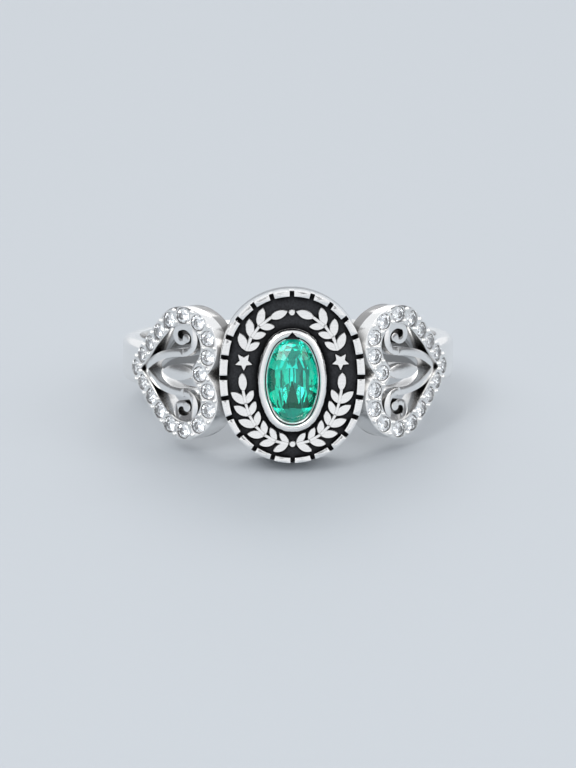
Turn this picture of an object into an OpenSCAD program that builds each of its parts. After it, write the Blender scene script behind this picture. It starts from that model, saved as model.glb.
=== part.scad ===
// Class ring: an oval head with a coloured stone, between two pierced hearts set with small stones.
// It lies on its side, as it rests on a table. The origin is the centre of the finger hole.

/* [Finger hole and band] */
// Diameter of the finger hole
finger_d = 18.2; // [14:0.1:22]
// Thickness of the band
band_t = 1.05; // [0.8:0.05:1.3]
// Width of the band along the finger
band_w = 2.7; // [2:0.1:3.4]
// Rounding of the band's outer edges
band_round = 0.5; // [0.1:0.05:0.6]

/* [Head] */
// Width of the oval head, across the finger
head_w = 8.6; // [8:0.1:9.6]
// Length of the oval head, along the finger
head_l = 10.2; // [9.8:0.1:12]
// How much shorter the radius of the head's ends is than its half width
end_short = 0.1; // [0.05:0.05:0.6]
// Height of the rim's top above the finger hole's wall
head_rise = 3.2; // [2.8:0.1:4]
// Width of the rim at the sides of the head
rim_side = 0.44; // [0.35:0.01:0.6]
// Width of the rim at the ends of the head
rim_end = 0.3; // [0.25:0.01:0.45]
// Number of notches that part the rim into bricks
notch_n = 24; // [16:2:28]
// Width of a notch
notch_w = 0.28; // [0.2:0.01:0.4]
// How far a notch reaches inwards past the rim
notch_in = 0.2; // [0.1:0.01:0.25]
// Depth of the recess below the top of the rim
recess_depth = 0.55; // [0.45:0.01:0.8]
// Thickness of the black fill
fill_t = 0.25; // [0.15:0.01:0.35]

/* [Garland and stars] */
// Height of the garland and the stars above the recess's floor
relief_h = 0.48; // [0.4:0.01:0.6]
// Length of a leaf beside the stone
leaf_l = 1.1; // [0.7:0.01:1.2]
// Width of a leaf beside the stone
leaf_w = 0.48; // [0.3:0.01:0.5]
// Least distance between pairs of leaves along the stem
leaf_pitch = 0.74; // [0.74:0.01:1.1]
// Angle between a leaf and the stem
leaf_angle = 40; // [30:1:44]
// Width of the stem
stem_w = 0.15; // [0.1:0.01:0.2]
// Radius of the berry at the top and at the bottom of the garland
berry_r = 0.16; // [0.1:0.01:0.2]
// Radius of a star's points
star_r = 0.52; // [0.3:0.01:0.56]
// Height of the stars above the middle of the garland
star_up = 1.0; // [0.7:0.01:1.2]
// Room between a star and the sprigs beside it
star_gap = 0.16; // [0.14:0.01:0.24]
// Room between a berry and the sprigs beside it
berry_gap = 0.1; // [0.1:0.01:0.2]

/* [Centre stone and bezel] */
// Width of the centre stone
stone_w = 3.0; // [2.4:0.1:3.2]
// Length of the centre stone
stone_l = 5.0; // [4.4:0.1:5.4]
// How much shorter the radius of the stone's ends is than its half width
stone_end_short = 0.33; // [0.2:0.01:0.5]
// Height of the stone's girdle above the top of the rim
girdle_rise = 0.1; // [0:0.01:0.25]
// Height of the centre stone's crown
crown_h = 0.45; // [0.3:0.01:0.6]
// Thickness of the centre stone's girdle
girdle_t = 0.08; // [0.05:0.01:0.1]
// Depth of the centre stone below its girdle
pavilion_h = 1.2; // [0.8:0.01:1.4]
// Width of the ledge that the centre stone rests on
ledge_w = 0.28; // [0.2:0.01:0.4]
// Width of the bezel's wall
bezel_w = 0.5; // [0.4:0.01:0.55]
// Height of the bezel above the top of the rim
bezel_rise = 0.58; // [0.5:0.01:0.7]
// How far the bezel stands below the middle of the head
bezel_low = 0.17; // [0:0.01:0.2]

/* [Hearts] */
// Gap between the head's side and the lobes of a heart, at the surface
heart_gap = 0.12; // [0.08:0.01:0.2]
// Length of a heart round the finger
heart_l = 7.35; // [7.1:0.05:7.8]
// Width of a heart along the finger
heart_w = 8.0; // [7.7:0.1:8.6]
// Depth of the heart's notch
heart_notch = 0.62; // [0.56:0.02:0.8]
// Radius of the heart's rounded point
point_r = 0.78; // [0.7:0.02:1]
// Thickness of a heart's plate
heart_t = 1.4; // [1.3:0.05:1.7]
// Width of the rim that holds the stones
heart_rim = 1.07; // [1.04:0.01:1.15]
// How far a heart stands below the middle of the band
heart_low = 0.15; // [0:0.01:0.2]

/* [Pierced scroll] */
// Width of a stroke in the volutes
scroll_w = 0.42; // [0.34:0.01:0.46]
// Radius of a volute
volute_r = 0.8; // [0.74:0.01:0.84]
// How far a volute's middle lies beyond its lobe's middle, towards the point
volute_in = 0.06; // [0:0.01:0.1]
// How far a volute reaches into the stones' rim
volute_lap = 0.08; // [0.05:0.01:0.12]
// Radius of the curl inside a volute
curl_r = 0.45; // [0.4:0.01:0.48]
// Radius of the bud that ends a curl
bud_r = 0.26; // [0.2:0.01:0.28]
// Distance of a stem's foot from the corner of the open space
foot_in = 0.25; // [0.15:0.01:0.35]
// Distance of a stem's foot from the heart's middle line
foot_out = 0.1; // [0.05:0.01:0.15]
// Length of the leaf between the stems
tongue_l = 2.7; // [2.2:0.1:2.9]
// Width of the leaf between the stems
tongue_w = 0.95; // [0.7:0.05:1.05]
// How far that leaf reaches into the stones' rim
tongue_lap = 0.15; // [0.1:0.01:0.2]
// Depth of the scroll's face below the stones' rim
scroll_drop = 0.2; // [0:0.05:0.4]

/* [Small stones] */
// Number of stones round a heart
pave_n = 18; // [16:1:18]
// Diameter of a small stone
pave_d = 0.9; // [0.7:0.01:0.94]
// Depth of a small stone's girdle below the surface
pave_sink = 0.1; // [0.05:0.01:0.15]
// Diameter of a bead prong
bead_d = 0.3; // [0.2:0.01:0.32]
// Distance from a bead prong to the edge of the rim
bead_edge = 0.03; // [0.02:0.01:0.05]

/* [Fit] */
// Clearance between the silver and a stone or the black fill
fit = 0.03; // [0.02:0.01:0.04]

/* [Hidden] */
$fn = 96;
bore_fn = 180;
seat_fn = 48;
bead_fn = 24;
lap = 0.01;

// Radii round the finger, and heights on the head counted from the finger's middle.
finger_r = finger_d / 2;
band_r = finger_r + band_t;
heart_r = finger_r + heart_t;
rim_top = finger_r + head_rise;
recess_z = rim_top - recess_depth;
fill_z = recess_z + fill_t;
girdle_z = rim_top + girdle_rise;
bezel_top = rim_top + bezel_rise;
far = rim_top + head_l;

// The ring rests on the head's lower edge, at the finger hole, and on the band's rounded edge at the back.
rest_run = finger_r + band_r - band_round;
rest_drop = head_l / 2 - band_w / 2 + band_round;
rest_angle = atan2(rest_drop, rest_run) - asin(band_round / norm([rest_run, rest_drop]));

// An oval of four arcs has half width a, half length b and end radius e.
function side_r(a, b, e) = (a * a + b * b - 2 * b * e) / (2 * (a - e));
function joint_angle(a, b, e) = atan2(b - e, side_r(a, b, e) - a);
function arc_len(r, angle) = r * angle * PI / 180;
function arc_angle(r, len) = len / r * 180 / PI;
function quarter_len(a, b, e) =
    let (j = joint_angle(a, b, e)) arc_len(side_r(a, b, e), j) + arc_len(e, 90 - j);

// Point and outward angle on a quarter of the oval, s along it from its side.
function quarter_at(a, b, e, s) =
    let (r = side_r(a, b, e), j = joint_angle(a, b, e), side = arc_len(r, j))
    s < side
        ? let (t = arc_angle(r, s)) [a - r + r * cos(t), r * sin(t), t]
        : let (t = j + arc_angle(e, s - side)) [e * cos(t), b - e + e * sin(t), t];

// The same all round the oval, counter-clockwise from its right side.
function oval_at(a, b, e, s) =
    let (q = quarter_len(a, b, e), whole = s - floor(s / (4 * q)) * 4 * q, k = floor(whole / q),
         r = whole - k * q, p = quarter_at(a, b, e, k % 2 == 0 ? r : q - r))
    k == 0 ? p
    : k == 1 ? [-p[0], p[1], 180 - p[2]]
    : k == 2 ? [-p[0], -p[1], 180 + p[2]]
    : [p[0], -p[1], -p[2]];

// Each oval on the head. The garland's line runs midway between the bezel and the rim.
head_a = head_w / 2;
head_b = head_l / 2;
head_e = head_a - end_short;
field_a = head_a - rim_side;
field_b = head_b - rim_end;
field_e = head_e - rim_side;
stone_a = stone_w / 2;
stone_b = stone_l / 2;
stone_e = stone_a - stone_end_short;
keel = stone_b - stone_a;
ledge_run = stone_e + (stone_b - stone_e - keel) * sin(joint_angle(stone_a, stone_b, stone_e));
ledge_z = girdle_z - girdle_t - pavilion_h * ledge_w / ledge_run - fit;
bezel_in = fit + bezel_w;
bezel_a = stone_a + bezel_in;
bezel_b = stone_b + bezel_in;
bezel_e = stone_e + bezel_in;
path_a = (field_a + bezel_a) / 2;
path_b = (field_b + bezel_b) / 2;
path_e = (field_e + bezel_e) / 2;
path_quarter = quarter_len(path_a, path_b, path_e);
path_room = path_a - bezel_a;
bezel_sections = 48;
bezel_steps = 5;

// How far an oval reaches towards the angle t, and the room beside the garland's line there.
function reach(a, b, e, t) =
    let (r = side_r(a, b, e), x = abs(cos(t)), y = abs(sin(t)))
    atan2(y, x) < joint_angle(a, b, e) ? (a - r) * x + r : (b - e) * y + e;
function path_reach(t) = reach(path_a, path_b, path_e, t);
function room_out(t) = reach(field_a, field_b, field_e, t) - path_reach(t) + bezel_low / 2 * sin(t);
function room_in(t) = path_reach(t) - reach(bezel_a, bezel_b, bezel_e, t) + bezel_low / 2 * sin(t);

// The stars stand beside the stone, and the garland leaves room for them and for the berries.
star_s = arc_len(side_r(path_a, path_b, path_e), asin(star_up / side_r(path_a, path_b, path_e)));
star_waist = 0.48;
star_room = star_r + star_gap;
berry_room = berry_r + berry_gap;
inner_leaf = 0.84;

// The heart's outline: two lobes, a rounded point and straight sides, x away from the head, y along the finger.
lobe_r = heart_w / 2 + heart_notch - sqrt(heart_w * heart_notch);
lobe_x = lobe_r - heart_l / 2;
lobe_y = heart_w / 2 - lobe_r;
point_x = heart_l / 2 - point_r;
notch_x = lobe_x - sqrt(lobe_r * lobe_r - lobe_y * lobe_y);
side_span = norm([point_x - lobe_x, lobe_y]);
side_len = sqrt(side_span * side_span - (lobe_r - point_r) * (lobe_r - point_r));
side_turn = atan2(lobe_y, lobe_x - point_x) - acos((point_r - lobe_r) / side_span);
notch_turn = 180 + atan2(lobe_y, lobe_x - notch_x);

// A heart's lobes end beside the head, and the band starts under its plate.
heart_angle = asin((head_a + heart_gap) / heart_r) + asin(heart_l / 2 / heart_r);
band_start = heart_angle + asin(heart_l / 12 / heart_r);

// The space inside the rim, whose straight sides meet in a corner behind the point.
open_r = lobe_r - heart_rim;
corner_x = (open_r + lobe_x * cos(side_turn) + lobe_y * sin(side_turn)) / cos(side_turn);

// The stones stand on the rim's middle line, from the point over both lobes to the notch.
row_in = heart_rim / 2;
row_point = arc_len(point_r - row_in, side_turn);
row_lobe = arc_len(lobe_r - row_in, notch_turn - side_turn);
row_notch = arc_len(row_in, notch_turn - 180);
row_half = row_point + side_len + row_lobe + row_notch;
pave_pitch = 2 * row_half / pave_n;

// Point and outward angle on the upper half of that line, s along it from the heart's point.
function row_upper(s) =
    let (side_s = s - row_point, lobe_s = side_s - side_len, c = cos(side_turn), n = sin(side_turn))
    side_s < 0
        ? let (t = arc_angle(point_r - row_in, s))
          [point_x + (point_r - row_in) * cos(t), (point_r - row_in) * sin(t), t]
    : lobe_s < 0
        ? [point_x + (point_r - row_in) * c - side_s * n, (point_r - row_in) * n + side_s * c, side_turn]
    : lobe_s < row_lobe
        ? let (t = side_turn + arc_angle(lobe_r - row_in, lobe_s))
          [lobe_x + (lobe_r - row_in) * cos(t), lobe_y + (lobe_r - row_in) * sin(t), t]
        : let (t = arc_angle(row_in, row_half - s))
          [notch_x + row_in * cos(t), row_in * sin(t), t + 180];

// The same all round the heart.
function row_at(s) =
    let (whole = s > row_half ? s - 2 * row_half : s, p = row_upper(abs(whole)), side = whole < 0 ? -1 : 1)
    [p[0], side * p[1], side * p[2]];

// A small stone has a round girdle and a pointed base. The beads stand near both edges of the rim.
pave_r = pave_d / 2;
pave_crown = 0.15 * pave_d;
pave_belt = 0.04 * pave_d;
pave_base = 0.42 * pave_d;
stone_sides = 16;
table_share = 0.56;
bead_r = bead_d / 2;
bead_out = heart_rim / 2 - bead_r - bead_edge;

// The scroll has a volute that touches the rim in each lobe, on a stem from the corner, with a curl and a bud.
volute = [lobe_x + volute_in, lobe_y + open_r + volute_lap - volute_r - scroll_w / 2];
curl_turn = 60;
curl = volute + (volute_r - curl_r) * [cos(curl_turn), sin(curl_turn)];
bud_turn = -150;
stem_grow = 1.15;
lap_turn = 6;
stem_run = corner_x - foot_in - volute[0];
stem_fall = volute[1] - volute_r - foot_out;
stem_r = (stem_run * stem_run + stem_fall * stem_fall) / (2 * stem_fall);
stem_turn = atan2(stem_r - stem_fall, stem_run);
tongue_x = notch_x + heart_rim - tongue_lap;

side_names = ["left", "right"];
function stone_name(side, i) = str("stone_", side, "_", i < 10 ? "0" : "", i);

// The ring as it rests, from the ring with its finger hole upright.
module at_rest() rotate([-rest_angle, 0, 0]) children();

// Places a child on the head, z outwards from the finger and y along it.
module at_head() rotate([90, 0, 0]) children();

// Lowers a child of the head to the bezel's place, or by part of the way.
module at_bezel(part = 1) translate([0, -part * bezel_low, 0]) children();

// Places a child on the right heart's plate.
module at_heart() translate([0, 0, -heart_low]) rotate([0, 0, heart_angle]) rotate([90, 0, 0]) children();

// Places a child on the right heart's surface, over a point [x, y] of its plate.
module on_heart(p)
    rotate([0, 0, heart_angle + asin(p[0] / heart_r)])
        translate([0, -heart_r, p[1] - heart_low]) rotate([90, 0, 0]) children();

// Makes the left side from the right one.
module both_sides() for (side = [0, 1]) mirror([side, 0, 0]) children();

// A flat shape from one height to another.
module layer(from, to) translate([0, 0, from]) linear_extrude(to - from) children();

module oval(a, b, e) {
    r = side_r(a, b, e);
    j = joint_angle(a, b, e);
    for (side = [-1, 1]) translate([0, side * (b - e)]) circle(e);
    intersection() {
        translate([a - r, 0]) circle(r);
        translate([r - a, 0]) circle(r);
        square([3 * a, 2 * r * sin(j)], center = true);
    }
}

// A closed profile swept round an oval: its points are [distance in from the oval's line, height].
module sweep_oval(a, b, e, profile) {
    n = len(profile);
    whole = 4 * quarter_len(a, b, e);
    polyhedron(
        [for (k = [0:bezel_sections - 1]) let (p = oval_at(a, b, e, whole * k / bezel_sections))
            for (q = profile) [p[0] - q[0] * cos(p[2]), p[1] - q[0] * sin(p[2]), q[1]]],
        [for (k = [0:bezel_sections - 1]) for (i = [0:n - 1])
            let (here = k * n, ahead = (k + 1) % bezel_sections * n, j = (i + 1) % n)
            each [[here + i, here + j, ahead + j], [here + i, ahead + j, ahead + i]]]);
}

// Part of a ring of middle radius r and width w, between two angles.
module arc_2d(r, w, from, to) {
    steps = ceil((to - from) / 45);
    difference() {
        intersection() {
            circle(r + w / 2);
            polygon(concat([[0, 0]], [for (k = [0:steps])
                let (t = from + (to - from) * k / steps) 2 * r * [cos(t), sin(t)]]));
        }
        circle(r - w / 2);
    }
}

// A leaf from the origin along x, pointed at both ends.
module leaf_2d(l, w, grow) {
    r = (l * l + w * w) / (4 * w);
    intersection_for (side = [-1, 1]) translate([l / 2, side * (r - w / 2)]) circle(r + grow);
}

// A star with one point down.
module star_2d(grow)
    polygon([for (k = [0:9]) let (t = 36 * k - 90)
        (k % 2 == 0 ? star_r + 2 * grow : star_waist * star_r + grow) * [cos(t), sin(t)]]);

// A leaf of a pair, smaller where the room beside the garland's line is less than beside the stone.
module pair_leaf_2d(room, share, grow) {
    k = share * min(1, room / path_room);
    leaf_2d(leaf_l * k, leaf_w * k, grow);
}

// One sprig on the garland's line, growing counter-clockwise from s along it.
module sprig_2d(from, len, grow) {
    pairs = floor((len - leaf_l) / leaf_pitch);
    pitch = (len - leaf_l) / pairs;
    for (k = [0:pairs]) {
        p = oval_at(path_a, path_b, path_e, from + k * pitch);
        next = oval_at(path_a, path_b, path_e, from + (k + 1) * pitch);
        t = oval_at(path_a, path_b, path_e, from + k * pitch + leaf_l / 3)[2];
        translate([p[0], p[1]]) {
            if (k == pairs) rotate(t + 90) leaf_2d(leaf_l, leaf_w, grow);
            if (k < pairs) {
                rotate(t + 90 - leaf_angle) pair_leaf_2d(room_out(t), 1, grow);
                rotate(t + 90 + leaf_angle) pair_leaf_2d(room_in(t), inner_leaf, grow);
                rotate(atan2(next[1] - p[1], next[0] - p[0])) translate([-grow, -stem_w / 2 - grow])
                    square([pitch + stem_w / 2 + 2 * grow, stem_w + 2 * grow]);
            }
        }
    }
}

// All that is raised in the recess; grow widens it for the holes in the black fill.
module relief_2d(grow) {
    star = oval_at(path_a, path_b, path_e, star_s);
    above = star_s + star_room;
    below = star_s - star_room;
    top = path_quarter - berry_room;
    for (side = [0, 1]) mirror([side, 0]) {
        translate([star[0], star[1]]) star_2d(grow);
        sprig_2d(above, top - above, grow);
        sprig_2d(-top, top + below, grow);
    }
    for (side = [-1, 1]) translate([0, side * path_b]) circle(berry_r + grow);
}

// The slots that part the rim, w wide, the first at the top.
module notches_2d(w) {
    whole = 4 * quarter_len(head_a, head_b, head_e);
    for (k = [0:notch_n - 1]) {
        p = oval_at(head_a, head_b, head_e, whole * (k / notch_n + 1 / 4));
        translate([p[0], p[1]]) rotate(p[2]) square([2 * (rim_side + notch_in), w], center = true);
    }
}

// The bezel: an oval wall with a rounded top, and the metal inside it up to the stone's ledge.
module bezel() {
    round_r = bezel_w / 2;
    foot = recess_z - lap;
    sweep_oval(bezel_a, bezel_b, bezel_e, concat([[bezel_w, foot], [0, foot]],
        [for (k = [0:bezel_steps]) let (t = 180 * k / bezel_steps)
            [round_r - round_r * cos(t), bezel_top - round_r + round_r * sin(t)]]));
    layer(foot, ledge_z) oval(stone_a + 3 * fit, stone_b + 3 * fit, stone_e + 3 * fit);
}

// The head: a solid oval with a sunk field, a notched rim, the raised ornament and the bezel.
module head() {
    difference() {
        layer(0, rim_top) oval(head_a, head_b, head_e);
        layer(recess_z, far) {
            oval(field_a, field_b, field_e);
            notches_2d(notch_w);
        }
    }
    at_bezel(1 / 2) layer(recess_z - lap, recess_z + relief_h) relief_2d(0);
    at_bezel() bezel();
}

// The hole for the centre stone's point, under its ledge.
module stone_hole()
    layer(girdle_z - girdle_t - pavilion_h - fit, girdle_z)
        oval(stone_a - ledge_w, stone_b - ledge_w, stone_e - ledge_w);

// A flat ring round the finger with rounded outer edges, open where the hearts and the head are.
module band() {
    half = band_w / 2;
    inner = finger_r / 2;
    rotate_extrude(angle = 360 - 2 * band_start, start = band_start - 90) {
        translate([inner, -half]) square([band_r - band_round - inner, band_w]);
        translate([inner, band_round - half]) square([band_r - inner, band_w - 2 * band_round]);
        for (side = [-1, 1]) translate([band_r - band_round, side * (half - band_round)]) circle(band_round);
    }
}

// The right heart as it would be cut from sheet. Its straight sides end a little inside the round ones.
module heart_2d() {
    for (side = [-1, 1]) translate([lobe_x, side * lobe_y]) circle(lobe_r);
    translate([point_x, 0]) circle(point_r);
    out = [cos(side_turn), sin(side_turn)];
    upper = [[point_x, 0] + (point_r - lap) * out, [lobe_x, lobe_y] + (lobe_r - lap) * out, [lobe_x, lobe_y]];
    polygon(concat(upper, [for (k = [2:-1:0]) [upper[k][0], -upper[k][1]]]));
}

// The space inside the stones' rim.
module heart_opening_2d() difference() {
    union() {
        for (side = [-1, 1]) translate([lobe_x, side * lobe_y]) circle(open_r);
        out = [lobe_x, lobe_y] + (open_r - lap) * [cos(side_turn), sin(side_turn)];
        corner = [corner_x - lap / cos(side_turn), 0];
        polygon([corner, out, [lobe_x, lobe_y], [notch_x, 0], [lobe_x, -lobe_y], [out[0], -out[1]]]);
    }
    translate([notch_x, 0]) circle(heart_rim + 2 * lap);
}

// The scroll that fills the heart; its strokes grow thinner from the corner to the curl.
module scroll_2d() {
    for (side = [0, 1]) mirror([0, side]) {
        translate([volute[0], volute[1] - volute_r - stem_r])
            arc_2d(stem_r, scroll_w * stem_grow, stem_turn, 90);
        translate(volute) arc_2d(volute_r, scroll_w, curl_turn, 270 + lap_turn);
        translate(curl) arc_2d(curl_r, scroll_w / stem_grow, bud_turn, curl_turn + lap_turn);
        translate(curl + curl_r * [cos(bud_turn), sin(bud_turn)]) circle(bud_r);
    }
    translate([tongue_x, 0]) leaf_2d(tongue_l, tongue_w, 0);
}

// A flat shape on the right heart's plate, bent to a radius round the finger.
module plate(r) intersection() {
    at_heart() layer(0, far) children();
    cylinder(h = 3 * heart_w, r = r, center = true);
}

// Two beads between each two stones.
module beads() for (k = [0:pave_n - 1]) {
    p = row_at((k + 1 / 2) * pave_pitch);
    for (side = [-1, 1])
        on_heart([p[0] + side * bead_out * cos(p[2]), p[1] + side * bead_out * sin(p[2])])
            sphere(bead_r, $fn = bead_fn);
}

// The seat drilled for each small stone, from the surface down.
module pave_seats() for (k = [0:pave_n - 1])
    on_heart(row_at(k * pave_pitch)) rotate_extrude($fn = seat_fn) polygon([
        [0, -pave_sink - pave_belt - pave_base - 2 * fit], [pave_r + fit, -pave_sink - pave_belt - fit],
        [pave_r + fit, heart_t], [0, heart_t]]);

module ring_body() color("silver") at_rest() difference() {
    union() {
        difference() {
            union() {
                band();
                both_sides() plate(heart_r) heart_2d();
                both_sides() beads();
            }
            both_sides() at_heart() layer(0, far) heart_opening_2d();
        }
        both_sides() plate(heart_r - scroll_drop) scroll_2d();
        at_head() head();
    }
    both_sides() pave_seats();
    at_head() at_bezel() stone_hole();
    cylinder(h = 2 * far, r = finger_r, center = true, $fn = bore_fn);
}

// The black fill, with a tab in each notch and holes for the bezel and all that is raised.
module enamel() color([0.08, 0.08, 0.09]) at_rest() at_head() difference() {
    layer(recess_z + fit, fill_z) {
        oval(field_a - fit, field_b - fit, field_e - fit);
        intersection() {
            notches_2d(notch_w - 2 * fit);
            oval(head_a, head_b, head_e);
        }
    }
    layer(0, far) {
        at_bezel() oval(bezel_a + fit, bezel_b + fit, bezel_e + fit);
        at_bezel(1 / 2) relief_2d(fit);
    }
}

// A cut stone on its girdle's points: a flat table, a crown, a belt, and a base that ends in a keel or a point.
module cut_stone(girdle, crown, belt, base, keel) {
    n = len(girdle);
    half = n / 2;
    table = [for (k = [0:half - 1]) [girdle[2 * k][0] * table_share, girdle[2 * k][1] * table_share, crown]];
    upper = [for (p = girdle) [p[0], p[1], 0]];
    lower = [for (p = girdle) [p[0], p[1], -belt]];
    ends = [for (side = keel > 0 ? [1, -1] : [0]) [0, side * keel, -belt - base]];
    low = half + n;
    tip = low + n;
    back = keel > 0 ? tip + 1 : tip;
    polyhedron(concat(table, upper, lower, ends), concat(
        [[for (k = [half - 1:-1:0]) k]],
        [for (k = [0:half - 1]) let (g = half + 2 * k, next = half + (2 * k + 2) % n, t = (k + 1) % half)
            each [[k, g + 1, g], [k, t, g + 1], [t, next, g + 1]]],
        [for (k = [0:n - 1]) let (j = (k + 1) % n) [half + k, half + j, low + j, low + k]],
        [for (k = [0:n - 1]) [low + k, low + (k + 1) % n, k < half ? tip : back]],
        keel > 0 ? [[low, tip, back], [low + half, back, tip]] : []));
}

module centre_stone() color([0.05, 0.65, 0.5]) at_rest() at_head() at_bezel() translate([0, 0, girdle_z]) {
    whole = 4 * quarter_len(stone_a, stone_b, stone_e);
    cut_stone([for (k = [0:stone_sides - 1]) oval_at(stone_a, stone_b, stone_e, whole * k / stone_sides)],
              crown_h, girdle_t, pavilion_h, keel);
}

module small_stone(side, i) color([0.9, 0.94, 0.97]) at_rest() mirror([side == "left" ? 1 : 0, 0, 0])
    on_heart(row_at((i - 1) * pave_pitch)) translate([0, 0, -pave_sink])
        cut_stone([for (k = [0:stone_sides - 1]) let (t = 360 * k / stone_sides) pave_r * [cos(t), sin(t)]],
                  pave_crown, pave_belt, pave_base, 0);

ring_body();
enamel();
centre_stone();
for (side = side_names) for (i = [1:pave_n])
    small_stone(side, i);
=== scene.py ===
from math import acos, asin, atan2, cos, floor, hypot, pi, radians, sin, sqrt

import bmesh
import bpy
from mathutils import Matrix, Vector


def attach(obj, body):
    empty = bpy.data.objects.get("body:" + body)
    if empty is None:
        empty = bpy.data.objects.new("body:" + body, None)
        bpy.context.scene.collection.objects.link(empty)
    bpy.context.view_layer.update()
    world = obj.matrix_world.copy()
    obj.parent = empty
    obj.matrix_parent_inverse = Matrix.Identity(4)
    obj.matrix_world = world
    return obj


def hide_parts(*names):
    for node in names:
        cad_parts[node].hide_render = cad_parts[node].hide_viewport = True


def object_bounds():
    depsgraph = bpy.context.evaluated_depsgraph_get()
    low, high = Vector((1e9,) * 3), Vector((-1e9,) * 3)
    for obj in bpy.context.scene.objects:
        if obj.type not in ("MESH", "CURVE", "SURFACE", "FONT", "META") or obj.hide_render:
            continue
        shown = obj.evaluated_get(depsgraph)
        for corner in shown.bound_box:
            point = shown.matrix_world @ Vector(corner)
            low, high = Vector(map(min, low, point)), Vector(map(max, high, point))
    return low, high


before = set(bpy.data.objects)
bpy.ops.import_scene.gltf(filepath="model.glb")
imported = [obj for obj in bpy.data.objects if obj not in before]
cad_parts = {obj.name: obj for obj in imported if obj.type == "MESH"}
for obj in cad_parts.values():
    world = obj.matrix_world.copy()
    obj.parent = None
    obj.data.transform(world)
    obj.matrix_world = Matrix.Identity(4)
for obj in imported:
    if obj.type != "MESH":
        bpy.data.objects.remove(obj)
cad_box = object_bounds()
bpy.ops.object.select_all(action="DESELECT")

# ---------------------------------------------------------------------------------------------------------
# The band is a flat strip of sterling silver, cast with the rest of the ring and rounded along its outer
# edges. The pieces are built in millimetres, with the finger hole upright and the head towards -Y, and the
# finished ring is laid on its side.
finger_r = 9.1
band_t = 1.05
band_w = 2.7
band_round = 0.5
band_spare = 1.5
band_start = radians(48.7)
band_steps = 132


def only(*pieces):
    """Selects just these pieces, the first as the active one."""
    bpy.ops.object.select_all(action="DESELECT")
    for piece in pieces:
        piece.select_set(True)
    bpy.context.view_layer.objects.active = pieces[0]


def applied(piece):
    """Puts a piece's place into its mesh."""
    only(piece)
    bpy.ops.object.transform_apply(location=True, rotation=True, scale=True)
    return piece


def placed(piece, matrix):
    """Moves a piece by a matrix and puts its place into its mesh."""
    piece.matrix_world = matrix @ piece.matrix_world
    bpy.context.view_layer.update()
    return applied(piece)


def closed(piece):
    """Merges doubled points, closes open ends and turns the faces outwards."""
    only(piece)
    bpy.ops.object.mode_set(mode="EDIT")
    bpy.ops.mesh.select_all(action="SELECT")
    bpy.ops.mesh.remove_doubles(threshold=0.0005)
    bpy.ops.mesh.fill_holes(sides=0)
    bpy.ops.mesh.select_all(action="SELECT")
    bpy.ops.mesh.normals_make_consistent(inside=False)
    bpy.ops.object.mode_set(mode="OBJECT")
    return piece


bpy.ops.mesh.primitive_plane_add(size=1, location=(finger_r + (band_t - band_spare) / 2, 0, 0),
                                 rotation=(pi / 2, 0, 0))
band = bpy.context.object
band.scale = (band_t + band_spare, band_w, 1)
applied(band)
bpy.ops.object.mode_set(mode="EDIT")
bpy.ops.mesh.select_all(action="DESELECT")
sheet = bmesh.from_edit_mesh(band.data)
for v in sheet.verts:
    v.select = v.co.x > finger_r
sheet.select_flush(True)
bpy.ops.mesh.bevel(offset=band_round, segments=8, affect="VERTICES")
bpy.ops.mesh.select_all(action="SELECT")
bpy.ops.mesh.spin(steps=band_steps, angle=2 * pi - 2 * band_start, center=(0, 0, 0), axis=(0, 0, 1))
bpy.ops.object.mode_set(mode="OBJECT")
placed(band, Matrix.Rotation(-band_start - pi / 2, 4, "Z"))
closed(band)

# ---------------------------------------------------------------------------------------------------------
# Each heart is a plate bent round the finger, with a rim that holds eighteen small stones and an open
# middle. Its lobes stand beside the head, and its point lies on the band. It is part of the same casting.
head_w = 8.6
heart_t = 1.4
heart_l = 7.35
heart_w = 8.0
heart_notch = 0.62
heart_rim = 1.07
heart_gap = 0.12
heart_low = 0.15
point_r = 0.78
heart_r = finger_r + heart_t
plate_low, plate_high = 8.0, 14.0
window_low, window_high = 2.0, 15.0
tool_l = 48.0
tool_sides = 240
lobe_r = heart_w / 2 + heart_notch - sqrt(heart_w * heart_notch)
lobe_x = lobe_r - heart_l / 2
lobe_y = heart_w / 2 - lobe_r
point_x = heart_l / 2 - point_r
notch_x = lobe_x - sqrt(lobe_r ** 2 - lobe_y ** 2)
side_span = hypot(point_x - lobe_x, lobe_y)
side_turn = atan2(lobe_y, lobe_x - point_x) - acos((point_r - lobe_r) / side_span)
notch_turn = pi + atan2(lobe_y, lobe_x - notch_x)
open_r = lobe_r - heart_rim
corner_x = (open_r + lobe_x * cos(side_turn) + lobe_y * sin(side_turn)) / cos(side_turn)
heart_angle = asin((head_w / 2 + heart_gap) / heart_r) + asin(heart_l / 2 / heart_r)
on_plate = (Matrix.Translation((0, 0, -heart_low)) @ Matrix.Rotation(heart_angle, 4, "Z")
            @ Matrix.Rotation(pi / 2, 4, "X"))


def joined(pieces, name):
    """Makes one piece of several."""
    only(*pieces)
    if len(pieces) > 1:
        bpy.ops.object.join()
    pieces[0].name = pieces[0].data.name = name
    return pieces[0]


def spare(piece, name):
    """A copy of a piece with a mesh of its own."""
    twin = piece.copy()
    twin.data = piece.data.copy()
    twin.name = twin.data.name = name
    bpy.context.collection.objects.link(twin)
    return twin


def cut(piece, tool, operation, overlapping=False):
    """Cuts a piece with a tool, adds it, or keeps what both have in common, and uses the tool up."""
    only(piece)
    step = piece.modifiers.new("cut", "BOOLEAN")
    step.operation = operation
    step.solver = "EXACT"
    step.use_self = overlapping
    step.object = tool
    bpy.ops.object.modifier_apply(modifier=step.name)
    bpy.data.objects.remove(tool)
    return piece


def arc(x, y, r, start, end, steps):
    """Points on an arc, both ends included."""
    turn = (end - start) / steps
    return [(x + r * cos(start + k * turn), y + r * sin(start + k * turn)) for k in range(steps + 1)]


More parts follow.
